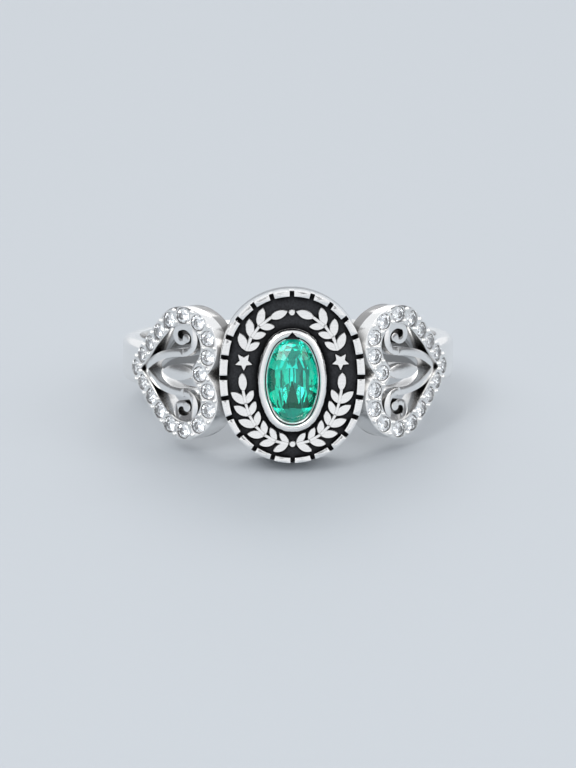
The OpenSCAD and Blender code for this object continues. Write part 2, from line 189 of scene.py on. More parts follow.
def both_halves(upper):
    """A closed outline from its upper half, whose first and last points lie on the middle line."""
    return upper + [(x, -y) for x, y in upper[-2:0:-1]]


def prism(name, outline, low, high):
    """A flat outline, raised to a solid between two heights."""
    line = bpy.data.curves.new(name, "CURVE")
    line.dimensions = "2D"
    line.fill_mode = "BOTH"
    line.extrude = (high - low) / 2
    spline = line.splines.new("POLY")
    spline.points.add(len(outline) - 1)
    for point, (x, y) in zip(spline.points, outline):
        point.co = (x, y, 0, 1)
    spline.use_cyclic_u = True
    piece = bpy.data.objects.new(name, line)
    bpy.context.collection.objects.link(piece)
    piece.location.z = (high + low) / 2
    only(piece)
    bpy.ops.object.convert(target="MESH")
    return closed(applied(bpy.context.object))


def cylinder(r):
    """A round tool along the finger hole."""
    bpy.ops.mesh.primitive_cylinder_add(vertices=tool_sides, radius=r, depth=tool_l)
    return bpy.context.object


def mirrored(piece, name):
    """The same piece for the left side, with its faces turned outwards again."""
    twin = spare(piece, name)
    only(twin)
    twin.scale.x = -1
    applied(twin)
    bpy.ops.object.mode_set(mode="EDIT")
    bpy.ops.mesh.select_all(action="SELECT")
    bpy.ops.mesh.normals_make_consistent(inside=False)
    bpy.ops.object.mode_set(mode="OBJECT")
    return twin


plate = prism("heart_plate", both_halves(
    arc(point_x, 0, point_r, 0, side_turn, 8)
    + arc(lobe_x, lobe_y, lobe_r, side_turn, notch_turn, 48)), plate_low, plate_high)
cut(placed(plate, on_plate), cylinder(heart_r), "INTERSECT")
window = prism("heart_window", both_halves(
    [(corner_x, 0)] + arc(lobe_x, lobe_y, open_r, side_turn, notch_turn, 32)
    + arc(notch_x, 0, heart_rim, notch_turn - pi, 0, 8)[1:]), window_low, window_high)
placed(window, on_plate)
hoop = joined([band, mirrored(plate, "heart_plate_left"), plate], "casting")
windows = joined([mirrored(window, "heart_window_left"), window], "heart_windows")
cut(hoop, windows, "DIFFERENCE", overlapping=True)

# ---------------------------------------------------------------------------------------------------------
# The pierced scroll fills each heart: two volutes on a common stem, a curl with a bud inside each, and a leaf
# between them. It is cast in one with the plate, a little below the stones' rim.
scroll_w = 0.42
scroll_drop = 0.2
scroll_low = 7.8
volute_r = 0.8
curl_r = 0.45
bud_r = 0.26
tongue_l = 2.7
tongue_w = 0.95
volute_in = 0.06
volute_lap = 0.08
foot_in = 0.25
foot_out = 0.1
tongue_lap = 0.15
volute = (lobe_x + volute_in, lobe_y + open_r + volute_lap - volute_r - scroll_w / 2)
curl_turn = radians(60)
curl = (volute[0] + (volute_r - curl_r) * cos(curl_turn), volute[1] + (volute_r - curl_r) * sin(curl_turn))
bud_turn = radians(-150)
stem_grow = 1.15
lap_turn = radians(6)
stem_run = corner_x - foot_in - volute[0]
stem_fall = volute[1] - volute_r - foot_out
stem_r = (stem_run ** 2 + stem_fall ** 2) / (2 * stem_fall)
stem_turn = atan2(stem_r - stem_fall, stem_run)
tongue_x = notch_x + heart_rim - tongue_lap


def stroke(x, y, r, w, start, end, steps):
    """The outline of part of a ring of middle radius r and width w."""
    return arc(x, y, r + w / 2, start, end, steps) + arc(x, y, r - w / 2, end, start, steps)


def leaf(x, y, l, w, steps):
    """The outline of a leaf along x, pointed at both ends."""
    r = (l * l + w * w) / (4 * w)
    half = asin(l / 2 / r)
    return (arc(x + l / 2, y + w / 2 - r, r, pi / 2 + half, pi / 2 - half, steps)
            + arc(x + l / 2, y - w / 2 + r, r, -pi / 2 + half, -pi / 2 - half, steps)[1:-1])


strokes = [leaf(tongue_x, 0, tongue_l, tongue_w, 16)]
for side in (1, -1):
    for outline in (
            stroke(volute[0], volute[1] - volute_r - stem_r, stem_r, scroll_w * stem_grow,
                   stem_turn, pi / 2, 16),
            stroke(*volute, volute_r, scroll_w, curl_turn, 3 * pi / 2 + lap_turn, 40),
            stroke(*curl, curl_r, scroll_w / stem_grow, bud_turn, curl_turn + lap_turn, 30),
            arc(curl[0] + curl_r * cos(bud_turn), curl[1] + curl_r * sin(bud_turn), bud_r,
                0, 2 * pi, 24)[:-1]):
        strokes.append([(x, side * y) for x, y in outline])
scroll = joined([placed(prism("stroke", outline, scroll_low, plate_high), on_plate) for outline in strokes],
                "scroll")
cut(scroll, cylinder(heart_r - scroll_drop), "INTERSECT", overlapping=True)

# ---------------------------------------------------------------------------------------------------------
# The head is a solid oval block of the same casting. Its top is sunk round the bezel for the black fill, and
# 24 slots part its rim into low bricks.
head_l = 10.2
end_short = 0.1
head_low = 7.6
head_rise = 3.2
rim_side = 0.44
rim_end = 0.3
notch_n = 24
notch_w = 0.28
notch_in = 0.2
recess_depth = 0.55
rim_top = finger_r + head_rise
above = rim_top + 2
recess_z = rim_top - recess_depth
head_a, head_b, head_e = head_w / 2, head_l / 2, head_w / 2 - end_short
field_a, field_b, field_e = head_a - rim_side, head_b - rim_end, head_e - rim_side
on_head = Matrix.Rotation(pi / 2, 4, "X")


def side_r(a, b, e):
    """Radius of the side arcs of an oval of half width a, half length b and end radius e."""
    return (a * a + b * b - 2 * b * e) / (2 * (a - e))


def joint_angle(a, b, e):
    """Angle from the side at which a side arc of the oval meets an end arc."""
    return atan2(b - e, side_r(a, b, e) - a)


def quarter_len(a, b, e):
    """Length of a quarter of the oval."""
    turn = joint_angle(a, b, e)
    return side_r(a, b, e) * turn + e * (pi / 2 - turn)


def oval_at(a, b, e, s):
    """Point and outward angle on the oval, s along it counter-clockwise from its right side."""
    quarter = quarter_len(a, b, e)
    k, run = divmod(s, quarter)
    k = int(k) % 4
    if k % 2:
        run = quarter - run
    r, turn = side_r(a, b, e), joint_angle(a, b, e)
    if run < r * turn:
        t = run / r
        x, y = a - r + r * cos(t), r * sin(t)
    else:
        t = turn + (run - r * turn) / e
        x, y = e * cos(t), b - e + e * sin(t)
    return ((x, y, t), (-x, y, pi - t), (-x, -y, pi + t), (x, -y, -t))[k]


def oval(a, b, e, steps=120):
    """Points on the oval, evenly spaced."""
    whole = 4 * quarter_len(a, b, e)
    return [oval_at(a, b, e, whole * k / steps)[:2] for k in range(steps)]


def slot_box(x, y, turn, length, width, low, high):
    """A tool for one slot of the rim."""
    bpy.ops.mesh.primitive_cube_add(size=1, location=(x, y, (low + high) / 2), rotation=(0, 0, turn))
    box = bpy.context.object
    box.scale = (length, width, high - low)
    return applied(box)


head = prism("head", oval(head_a, head_b, head_e), head_low, rim_top)
rim_len = 4 * quarter_len(head_a, head_b, head_e)
tools = [prism("field", oval(field_a, field_b, field_e), recess_z, above)]
for k in range(notch_n):
    x, y, turn = oval_at(head_a, head_b, head_e, rim_len * ((k / notch_n + 0.25) % 1))
    tools.append(slot_box(x, y, turn, 2 * (rim_side + notch_in), notch_w, recess_z, above))
cut(head, joined(tools, "field_and_slots"), "DIFFERENCE", overlapping=True)
placed(head, on_head)

# The stone's pit goes down into the head. Its middle is a little below the head's.
stone_a, stone_b, stone_e = 1.5, 2.5, 1.17
fit = 0.03
bezel_low = 0.17
girdle_rise = 0.1
girdle_t = 0.08
pavilion_h = 1.2
ledge_w = 0.28
girdle_z = rim_top + girdle_rise
on_bezel = on_head @ Matrix.Translation((0, -bezel_low, 0))
pit = prism("stone_pit", oval(stone_a - ledge_w, stone_b - ledge_w, stone_e - ledge_w, 64),
            girdle_z - girdle_t - pavilion_h - fit, girdle_z)
placed(pit, on_bezel)

# ---------------------------------------------------------------------------------------------------------
# Seats are drilled for the small stones after casting, and the finger hole is bored through the whole ring.
# All that is cast is then one body, with its edges rounded by tumbling and polishing.
pave_n = 18
pave_r = 0.45
pave_sink = 0.1
pave_belt = 0.036
pave_base = 0.378
drill_over = 0.5
row_in = heart_rim / 2
side_len = sqrt(side_span ** 2 - (lobe_r - point_r) ** 2)
row_point = (point_r - row_in) * side_turn
row_lobe = (lobe_r - row_in) * (notch_turn - side_turn)
row_notch = row_in * (notch_turn - pi)
row_half = row_point + side_len + row_lobe + row_notch
edge_round = 0.045


def row_at(s):
    """Point and outward angle on the line of stones, s along it from the heart's point."""
    whole = s - 2 * row_half if s > row_half else s
    run, side = abs(whole), -1 if whole < 0 else 1
    c, n = cos(side_turn), sin(side_turn)
    inner = point_r - row_in
    if run < row_point:
        t = run / inner
        x, y = point_x + inner * cos(t), inner * sin(t)
    elif run < row_point + side_len:
        t, along = side_turn, run - row_point
        x, y = point_x + inner * c - along * n, inner * n + along * c
    elif run < row_point + side_len + row_lobe:
        t = side_turn + (run - row_point - side_len) / (lobe_r - row_in)
        x, y = lobe_x + (lobe_r - row_in) * cos(t), lobe_y + (lobe_r - row_in) * sin(t)
    else:
        t = (row_half - run) / row_in
        x, y, t = notch_x + row_in * cos(t), row_in * sin(t), t + pi
    return x, side * y, side * t


def on_heart(x, y):
    """Place on the right heart's surface, over a point of its plate, with z outwards."""
    return (Matrix.Rotation(heart_angle + asin(x / heart_r), 4, "Z")
            @ Matrix.Translation((0, -heart_r, y - heart_low)) @ Matrix.Rotation(pi / 2, 4, "X"))


def top_picked(piece):
    """Opens a piece for editing, with just the faces that look up selected."""
    only(piece)
    bpy.ops.object.mode_set(mode="EDIT")
    bpy.ops.mesh.select_all(action="DESELECT")
    for face in bmesh.from_edit_mesh(piece.data).faces:
        face.select = face.normal.z > 0.9


bpy.ops.mesh.primitive_cone_add(vertices=40, radius1=0, radius2=pave_r + fit, depth=pave_base + fit,
                                location=(0, 0, -pave_sink - pave_belt - fit - (pave_base + fit) / 2))
drill = applied(bpy.context.object)
top_picked(drill)
bpy.ops.mesh.extrude_region_move(TRANSFORM_OT_translate={"value": (0, 0, drill_over)})
bpy.ops.object.mode_set(mode="OBJECT")
closed(drill)
row = [row_at(k * 2 * row_half / pave_n) for k in range(pave_n)]
seats = [placed(spare(drill, "seat"), on_heart(x, y)) for x, y, turn in row]
seats = joined(seats, "seats")
body = hoop
for piece in (head, mirrored(scroll, "scroll_left"), scroll):
    cut(body, piece, "UNION")
for tool in (cylinder(finger_r), mirrored(seats, "seats_left"), seats, pit):
    cut(body, tool, "DIFFERENCE")
bpy.data.objects.remove(drill)
closed(body)
only(body)
step = body.modifiers.new("rounding", "BEVEL")
step.width = edge_round
step.segments = 2
step.limit_method = "ANGLE"
step.angle_limit = radians(35)
step.use_clamp_overlap = True
step.miter_outer = "MITER_ARC"
bpy.ops.object.modifier_apply(modifier=step.name)
bpy.ops.object.shade_smooth_by_angle(angle=radians(40))

# The ring rests on the head's lower edge and on the back of the band, so it leans a little.
rest_run = 2 * finger_r + band_t - band_round
rest_drop = head_l / 2 - band_w / 2 + band_round
rest_angle = atan2(rest_drop, rest_run) - asin(band_round / hypot(rest_run, rest_drop))
mm = 0.001
laid = Matrix.Rotation(-rest_angle, 4, "X") @ Matrix.Scale(mm, 4)


def finished(piece, materials, slot, *nodes):
    """Lays a piece on its side at its real size, gives it its finish, and hides the imported parts it stands
    for.
    """
    placed(piece, laid)
    for material in materials:
        piece.data.materials.append(material)
    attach(piece, "root")
    if nodes:
        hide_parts(*nodes)
    return piece


def shader(name):
    """A new material, its nodes, and its Principled shader."""
    material = bpy.data.materials.new(name)
    material.use_nodes = True
    nodes = material.node_tree.nodes
    return material, nodes, material.node_tree.links, nodes["Principled BSDF"]


def fine_marks():
    """Node group: fine grain and hair scratches, as a mask from 0 to 1 and as a height."""
    group = bpy.data.node_groups.new("fine_marks", "ShaderNodeTree")
    for name in ("Grain Scale", "Scratch Scale"):
        group.interface.new_socket(name, in_out="INPUT", socket_type="NodeSocketFloat")
    for name in ("Grain", "Scratches"):
        group.interface.new_socket(name, in_out="OUTPUT", socket_type="NodeSocketFloat")
    nodes, links = group.nodes, group.links
    start, end = nodes.new("NodeGroupInput"), nodes.new("NodeGroupOutput")
    place = nodes.new("ShaderNodeTexCoord")
    grain = nodes.new("ShaderNodeTexNoise")
    grain.inputs["Detail"].default_value = 3
    links.new(place.outputs["Object"], grain.inputs["Vector"])
    links.new(start.outputs["Grain Scale"], grain.inputs["Scale"])
    links.new(grain.outputs["Fac"], end.inputs["Grain"])
    stretch = nodes.new("ShaderNodeMapping")
    stretch.inputs["Scale"].default_value = (1, 1, 9)
    stretch.inputs["Rotation"].default_value = (0.4, 0.5, 0)
    scratch = nodes.new("ShaderNodeTexNoise")
    scratch.inputs["Detail"].default_value = 2
    links.new(place.outputs["Object"], stretch.inputs["Vector"])
    links.new(stretch.outputs["Vector"], scratch.inputs["Vector"])
    links.new(start.outputs["Scratch Scale"], scratch.inputs["Scale"])
    links.new(scratch.outputs["Fac"], end.inputs["Scratches"])
    return group


def mapped(nodes, links, source, low, high, to_low, to_high):
    """A value rescaled from one range to another, held at its ends."""
    node = nodes.new("ShaderNodeMapRange")
    for name, value in (("From Min", low), ("From Max", high), ("To Min", to_low), ("To Max", to_high)):
        node.inputs[name].default_value = value
    links.new(source, node.inputs["Value"])
    return node.outputs["Result"]


def blended(nodes, links, mask, first, second):
    """A colour between two, by a mask. Each is a colour or another node's output."""
    node = nodes.new("ShaderNodeMix")
    node.data_type = "RGBA"
    for socket, colour in ((node.inputs[6], first), (node.inputs[7], second)):
        if isinstance(colour, tuple):
            socket.default_value = colour
        else:
            links.new(colour, socket)
    links.new(mask, node.inputs[0])
    return node.outputs[2]


def raised_by(nodes, links, height, distance, strength):
    """A normal from a height."""
    node = nodes.new("ShaderNodeBump")
    node.inputs["Distance"].default_value = distance
    node.inputs["Strength"].default_value = strength
    links.new(height, node.inputs["Height"])
    return node.outputs["Normal"]


# The silver is bright outside; its colour is darkened as painted shade inside the finger hole and in narrow
# corners.
marks = fine_marks()
silver, nodes, links, main = shader("polished_silver")
own = nodes.new("ShaderNodeGroup")
own.node_tree = marks
own.inputs["Grain Scale"].default_value = 2500
own.inputs["Scratch Scale"].default_value = 1400
# Painted shade: ambient occlusion darkens the silver's colour in narrow corners and pits.
near = nodes.new("ShaderNodeAmbientOcclusion")
near.samples = 8
near.inputs["Distance"].default_value = 0.0009
near.only_local = True
open_air = mapped(nodes, links, near.outputs["AO"], 0.15, 0.75, 0, 1)
place = nodes.new("ShaderNodeTexCoord")
upright = nodes.new("ShaderNodeMapping")
upright.inputs["Rotation"].default_value = (rest_angle, 0, 0)
upright.inputs["Scale"].default_value = (1, 1, 0)
from_axis = nodes.new("ShaderNodeVectorMath")
from_axis.operation = "LENGTH"
links.new(place.outputs["Object"], upright.inputs["Vector"])
links.new(upright.outputs["Vector"], from_axis.inputs[0])
# Painted shade: inside the finger hole the silver gets a darker colour.
outside = mapped(nodes, links, from_axis.outputs["Value"], finger_r * mm, (finger_r + 0.05) * mm, 0, 1)
bore_shaded = blended(nodes, links, outside, (0.36, 0.355, 0.35, 1), (0.93, 0.925, 0.915, 1))
links.new(blended(nodes, links, open_air, (0.2, 0.195, 0.19, 1), bore_shaded), main.inputs["Base Color"])
main.inputs["Metallic"].default_value = 1
links.new(mapped(nodes, links, own.outputs["Scratches"], 0.3, 0.7, 0.13, 0.24), main.inputs["Roughness"])
links.new(raised_by(nodes, links, own.outputs["Grain"], 0.00001, 0.25), main.inputs["Normal"])
finished(body, [silver], "silver", "ring_body")

# ---------------------------------------------------------------------------------------------------------
# Bead prongs hold the small stones down. They are raised with a graver from the silver of the hearts' rims,
# one at either edge between each two stones, and stay part of the casting.
bead_r = 0.15
bead_edge = 0.03
bead_out = heart_rim / 2 - bead_r - bead_edge
bpy.ops.mesh.primitive_uv_sphere_add(segments=14, ring_count=9, radius=bead_r)
bead = bpy.context.object
bpy.ops.object.shade_smooth()
beads = []
for k in range(pave_n):
    x, y, turn = row_at((k + 0.5) * 2 * row_half / pave_n)
    for side in (-1, 1):
        beads.append(placed(spare(bead, "bead"), on_heart(
            x + side * bead_out * cos(turn), y + side * bead_out * sin(turn))))
bpy.data.objects.remove(bead)
beads = joined(beads, "bead_prongs_right")
for piece in (mirrored(beads, "bead_prongs_left"), beads):
    finished(piece, [silver], "silver")

# ---------------------------------------------------------------------------------------------------------
# The bezel is an oval collar round the centre stone. Its rounded lip is burnished over the stone's edge, and
# a ledge inside carries the stone. It stands a little below the middle of the head.
bezel_w = 0.5
bezel_rise = 0.58
bezel_top = rim_top + bezel_rise
bezel_in = fit + bezel_w
bezel_a, bezel_b, bezel_e = stone_a + bezel_in, stone_b + bezel_in, stone_e + bezel_in
field_root = recess_z - 0.01
lip_out = 0.2
lip_flat = 0.06
lip_in, lip_fall = 0.14, 0.12
lip_under = 0.01
groove_out, groove_in, groove_depth = 0.41, 0.45, 0.26
inner_ring = [(0.46, 0.16), (0.5, 0.13), (0.55, 0.18), (0.56, 0.27)]
grip_depth = 0.3
keel = stone_b - stone_a
ledge_run = stone_e + (stone_b - stone_e - keel) * sin(joint_angle(stone_a, stone_b, stone_e))
ledge_z = girdle_z - girdle_t - pavilion_h * ledge_w / ledge_run - fit
bezel_steps = 120


def oval_ring(a, b, e, profile, name):
    """A closed section swept round an oval by extruding a loop: its points are (distance in, height)."""
    def spots(d):
        whole = 4 * quarter_len(a - d, b - d, e - d)
        return [oval_at(a - d, b - d, e - d, whole * k / bezel_steps)[:2] for k in range(bezel_steps)]

    bpy.ops.mesh.primitive_circle_add(vertices=bezel_steps, radius=1)
    piece = bpy.context.object
    bpy.ops.object.mode_set(mode="EDIT")
    sheet = bmesh.from_edit_mesh(piece.data)
    sheet.verts.ensure_lookup_table()
    for v, (x, y) in zip(sorted(sheet.verts, key=lambda v: v.index), spots(profile[0][0])):
        v.co = (x, y, profile[0][1])
    before = spots(profile[0][0])
    for d, z in profile[1:]:
        bpy.ops.mesh.extrude_edges_move()
        sheet = bmesh.from_edit_mesh(piece.data)
        after = spots(d)
        for v in sheet.verts:
            if v.select:
                k = min(range(bezel_steps), key=lambda k: hypot(before[k][0] - v.co.x, before[k][1] - v.co.y))
                v.co = (*after[k], z)
        before = after
    bpy.ops.mesh.select_all(action="DESELECT")
    sheet = bmesh.from_edit_mesh(piece.data)
    for v in sheet.verts:
        v.select = v.is_boundary
    sheet.select_flush(True)
    bpy.ops.mesh.bridge_edge_loops()
    bpy.ops.object.mode_set(mode="OBJECT")
    piece.name = piece.data.name = name
    return piece


lip = [(lip_out - lip_out * cos(t), bezel_top - lip_out + (lip_out - lip_under) * sin(t))
       for t in (0, 0.3, 0.6, 0.9, 1.2, pi / 2)]
lip += [(lip_out + lip_flat + lip_in * sin(t), bezel_top - lip_under - lip_fall + lip_fall * cos(t))
        for t in (0, 0.4, 0.8, 1.2, pi / 2)]
groove = [(groove_out, groove_depth), (groove_in, groove_depth)]
lip += [(d, bezel_top - fall) for d, fall in groove + inner_ring]
bezel = oval_ring(bezel_a, bezel_b, bezel_e,
                  [(0, field_root)] + lip
                  + [(bezel_w, bezel_top - grip_depth), (bezel_w, ledge_z),
                     (bezel_in + ledge_w, ledge_z), (bezel_in + ledge_w, field_root)], "bezel")

# A small V is cut into the lip at the stone's upper end.
nick_w = 0.42
nick_l = 0.45
nick_lap = 0.03
nick_low, nick_high = bezel_top - 0.5, bezel_top + 0.2
nick_y = stone_b - nick_lap
nick_outline = [(-nick_w, nick_y), (nick_w, nick_y), (0, nick_y + nick_l)]
cut(closed(bezel), prism("nick", nick_outline, nick_low, nick_high), "DIFFERENCE")
placed(bezel, on_bezel)
bpy.ops.object.shade_smooth_by_angle(angle=radians(25))
finished(bezel, [silver], "silver")

# ---------------------------------------------------------------------------------------------------------
# A laurel garland and two stars are raised in the sunk field, cast with the head. Their tops are polished and
# their edges slope down to the black fill.
relief_h = 0.48
leaf_l = 1.1
leaf_w = 0.48
leaf_pitch = 0.74
leaf_angle = radians(40)
inner_leaf = 0.84
stem_w = 0.15
berry_r = 0.16
star_r = 0.52
star_waist = 0.48
star_up = 1.0
star_gap = 0.16
berry_gap = 0.1
star_room = star_r + star_gap
berry_room = berry_r + berry_gap
leaf_slope = (0.12, 0.17)
stem_slope = (0.06, 0.045)
star_slope = (0.12, 0.09)
berry_slope = (0.09, 0.08)
path = ((field_a + bezel_a) / 2, (field_b + bezel_b) / 2, (field_e + bezel_e) / 2)
path_room = path[0] - bezel_a
on_field = on_head @ Matrix.Translation((0, -bezel_low / 2, 0))


def reach(a, b, e, t):
    """How far an oval reaches towards the angle t."""
    r, x, y = side_r(a, b, e), abs(cos(t)), abs(sin(t))
    return (a - r) * x + r if atan2(y, x) < joint_angle(a, b, e) else (b - e) * y + e


def raised(name, outline, slope, run):
    """A flat outline raised from the field's floor, its edges sloping by a height over a run."""
    piece = prism(name, outline, field_root, recess_z + relief_h - slope)
    top_picked(piece)
    bpy.ops.mesh.inset(thickness=run, depth=slope, use_boundary=True)
    bpy.ops.object.mode_set(mode="OBJECT")
    return piece


blade = raised("leaf", leaf(0, 0, leaf_l, leaf_w, 10), *leaf_slope)
star_s = side_r(*path) * asin(star_up / side_r(*path))
quarter = quarter_len(*path)
top = quarter - berry_room
garland = []
for first, length in ((star_s + star_room, top - star_s - star_room), (-top, top + star_s - star_room)):
    pairs = floor((length - leaf_l) / leaf_pitch)
    pitch = (length - leaf_l) / pairs
    for k in range(pairs + 1):
        here = (first + k * pitch) % (4 * quarter)
        x, y = oval_at(*path, here)[:2]
        next_x, next_y = oval_at(*path, here + pitch)[:2]
        turn = oval_at(*path, here + leaf_l / 3)[2]
        spot = on_field @ Matrix.Translation((x, y, 0))
        # A side leaf is shorter where the field is narrower than at the ring's side.
        out = reach(field_a, field_b, field_e, turn) - reach(*path, turn) + bezel_low / 2 * sin(turn)
        inside = reach(*path, turn) - reach(bezel_a, bezel_b, bezel_e, turn) + bezel_low / 2 * sin(turn)
        ways = [(turn + pi / 2, 1)] if k == pairs else [
            (turn + pi / 2 - leaf_angle, min(1, out / path_room)),
            (turn + pi / 2 + leaf_angle, inner_leaf * min(1, inside / path_room))]
        for way, share in ways:
            garland.append(placed(spare(blade, "leaf"), spot @ Matrix.Rotation(way, 4, "Z")
                                  @ Matrix.Diagonal((share, share, 1, 1))))
        if k < pairs:
            run = pitch + stem_w / 2
            bar = [(0, -stem_w / 2), (run, -stem_w / 2), (run, stem_w / 2), (0, stem_w / 2)]
            stem = raised("stem", bar, *stem_slope)
            garland.append(placed(stem, spot @ Matrix.Rotation(atan2(next_y - y, next_x - x), 4, "Z")))
bpy.data.objects.remove(blade)
x, y, turn = oval_at(*path, star_s)
points = []
for k in range(10):
    r, t = (star_waist * star_r if k % 2 else star_r), 2 * pi * k / 10 - pi / 2
    points.append((r * cos(t), r * sin(t)))
garland.append(placed(raised("star", points, *star_slope), on_field @ Matrix.Translation((x, y, 0))))
garland = joined(garland, "garland_right")
garland = joined([mirrored(garland, "garland_left"), garland], "garland")
berries = [placed(raised("berry", arc(0, y, berry_r, 0, 2 * pi, 20)[:-1], *berry_slope), on_field)
           for y in (-path[1], path[1])]
garland = joined([garland] + berries, "garland")
only(garland)
bpy.ops.object.shade_smooth_by_angle(angle=radians(22))
finished(garland, [silver], "silver")

# ---------------------------------------------------------------------------------------------------------
# The black fill is a cold enamel, wiped into the field and the slots and left matt. The imported solid has the
# right shape and stays; it gets a fine grain, and painted shade makes it blacker and less shiny near the
# silver.
fill, nodes, links, main = shader("black_fill")
own = nodes.new("ShaderNodeGroup")
own.node_tree = marks
own.inputs["Grain Scale"].default_value = 9000
own.inputs["Scratch Scale"].default_value = 2500
# Painted shade: ambient occlusion near the silver walls makes the fill blacker and lowers its shine; the grain
# varies its tone too.
near = nodes.new("ShaderNodeAmbientOcclusion")
near.samples = 8
near.inputs["Distance"].default_value = 0.0006
middle = mapped(nodes, links, near.outputs["AO"], 0.6, 0.97, 0, 1)
grain = mapped(nodes, links, own.outputs["Grain"], 0.35, 0.65, 0.6, 1.3)
depth = nodes.new("ShaderNodeMath")
depth.operation = "MULTIPLY"
links.new(middle, depth.inputs[0])
links.new(grain, depth.inputs[1])
links.new(blended(nodes, links, depth.outputs[0], (0.0008, 0.0008, 0.001, 1), (0.026, 0.027, 0.031, 1)),
          main.inputs["Base Color"])
links.new(mapped(nodes, links, middle, 0, 1, 0.02, 0.25), main.inputs["Specular IOR Level"])
main.inputs["Roughness"].default_value = 0.62
links.new(raised_by(nodes, links, own.outputs["Grain"], 0.00002, 0.6), main.inputs["Normal"])
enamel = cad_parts["enamel"]
enamel.data.materials.clear()
enamel.data.materials.append(fill)

# The groove inside the bezel's lip and the V in it hold a thin line of the same black, a painted shadow where
# the lip's inner wall lies in shade.
line_out, line_in = 0.4, 0.465
line_top = bezel_top - 0.17
line_low = line_top - 0.1
line = oval_ring(bezel_a, bezel_b, bezel_e,
                 [(line_out, line_low), (line_out, line_top), (line_in, line_top), (line_in, line_low)],
                 "painted_shadow_line")
finished(placed(line, on_bezel), [fill], "black_fill")
finished(placed(prism("painted_shadow_nick", nick_outline, line_low, line_top), on_bezel), [fill], "black_fill")

# ---------------------------------------------------------------------------------------------------------
# The centre stone is a long oval, cut with an eight-sided table, star and kite facets, and a pavilion that
# ends in a short keel. It is a clear green synthetic.
crown_h = 0.45
table_share = 0.56
star_share, star_rise = 0.8, 0.6
waist_in = 0.66
keel_up, keel_down = 0.7, 0.1
tip_r = 0.012
lower_z = 0.3


def gem(name, rings, tips, tone=lambda x, y: 1):
    """A cut stone: the facets are the hull of its rings of corners, each (outline, height), and its tips.
    A facet of the belt or below it gets the material that tone names for its place."""
    loops = []
    for outline, z in rings:
        bpy.ops.mesh.primitive_circle_add(vertices=len(outline), radius=1)
        loop = bpy.context.object
        for v, (x, y) in zip(loop.data.vertices, outline):
            v.co = (x, y, z)
        loops.append(loop)
    for y, z in tips:
        bpy.ops.mesh.primitive_circle_add(vertices=3, radius=tip_r, location=(0, y, z))
        loops.append(applied(bpy.context.object))
    piece = joined(loops, name)
    bpy.ops.object.mode_set(mode="EDIT")
    bpy.ops.mesh.select_all(action="SELECT")
    bpy.ops.mesh.convex_hull(face_threshold=radians(3), shape_threshold=radians(3))
    bpy.ops.mesh.select_all(action="SELECT")
    bpy.ops.mesh.dissolve_limited(angle_limit=radians(2))
    bpy.ops.mesh.normals_make_consistent(inside=False)
    bpy.ops.object.mode_set(mode="OBJECT")
    for face in piece.data.polygons:
        face.material_index = tone(face.center.x, face.center.y) if face.normal.z < lower_z else 0
    return piece


def part_oval(a, b, e, count, offset, share=1.0):
    """A few corners on an oval, the first moved on by a share of their spacing."""
    whole = 4 * quarter_len(a, b, e)
    return [tuple(share * c for c in oval_at(a, b, e, whole * (((k + offset) / count) % 1))[:2])
            for k in range(count)]


def glass(name, colour, ior):
    """The clear upper part of a stone."""
    material, nodes, links, main = shader(name)
    main.inputs["Base Color"].default_value = colour
    main.inputs["Roughness"].default_value = 0.0
    main.inputs["IOR"].default_value = ior
    main.inputs["Transmission Weight"].default_value = 1
    return material


def mirror(name, colour, glow=0.1):
    """The lower facets, which send the light back as in a well cut stone. The glow stands for the light that
    passes between them many times."""
    material, nodes, links, main = shader(name)
    main.inputs["Base Color"].default_value = colour
    main.inputs["Emission Color"].default_value = colour
    main.inputs["Emission Strength"].default_value = glow
    main.inputs["Metallic"].default_value = 1
    main.inputs["Roughness"].default_value = 0.02
    return material


# The mid and dark copies of the facet material are painted reflections of the dark parts of the studio.
green = [glass("green_stone", (0.75, 1.0, 0.96, 1), 1.62),
         mirror("green_facets", (0.08, 1.0, 0.87, 1)),
         mirror("green_facets_mid", (0.02, 0.55, 0.4, 1)),
         mirror("green_facets_dark", (0.0, 0.1, 0.07, 1))]


bright, half, dark = 1, 2, 3
arrow_x, arrow_low, arrow_high = 0.2, -1.4, -0.2
side_x, side_y = 0.9, 0.6


def lower_tone(x, y):
    """Painted reflections: the arrowhead below the middle and the sides are darker than the other facets."""
    if abs(x) < arrow_x and arrow_low < y < arrow_high:
        return dark
    if x < -side_x:
        return dark if abs(y) < side_y else half
    if x > side_x:
        return dark if y < -side_y else half
    return bright


shape = (stone_a, stone_b, stone_e)
centre = gem("centre_stone_cut", [
    (part_oval(*shape, 8, 0.5, table_share), crown_h),
    (part_oval(*shape, 8, 0, star_share), crown_h * star_rise),
    (part_oval(*shape, 16, 0), 0),
    (part_oval(*shape, 16, 0), -girdle_t),
    (part_oval(*(size - waist_in for size in shape), 8, 0.5), -girdle_t - waist_in)],
    [(keel * keel_up, -girdle_t - pavilion_h), (-keel * keel_down, -girdle_t - pavilion_h)], lower_tone)
placed(centre, on_bezel @ Matrix.Translation((0, 0, girdle_z)))
finished(centre, green, "green_stone", "centre_stone")

# ---------------------------------------------------------------------------------------------------------
# Thirty-six round clear stones, 0.9 mm across, are set round the hearts. Each is a brilliant with a table,
# star and kite facets above its belt and eight main facets below.
clear = (glass("clear_stone", (1.0, 1.0, 1.0, 1), 2.1), mirror("clear_facets", (0.95, 0.96, 0.97, 1), 0.03))


def circle_at(r, count, offset):
    """A few corners on a circle, the first moved on by a share of their spacing."""
    turns = [2 * pi * (k + offset) / count for k in range(count)]
    return [(r * cos(t), r * sin(t)) for t in turns]


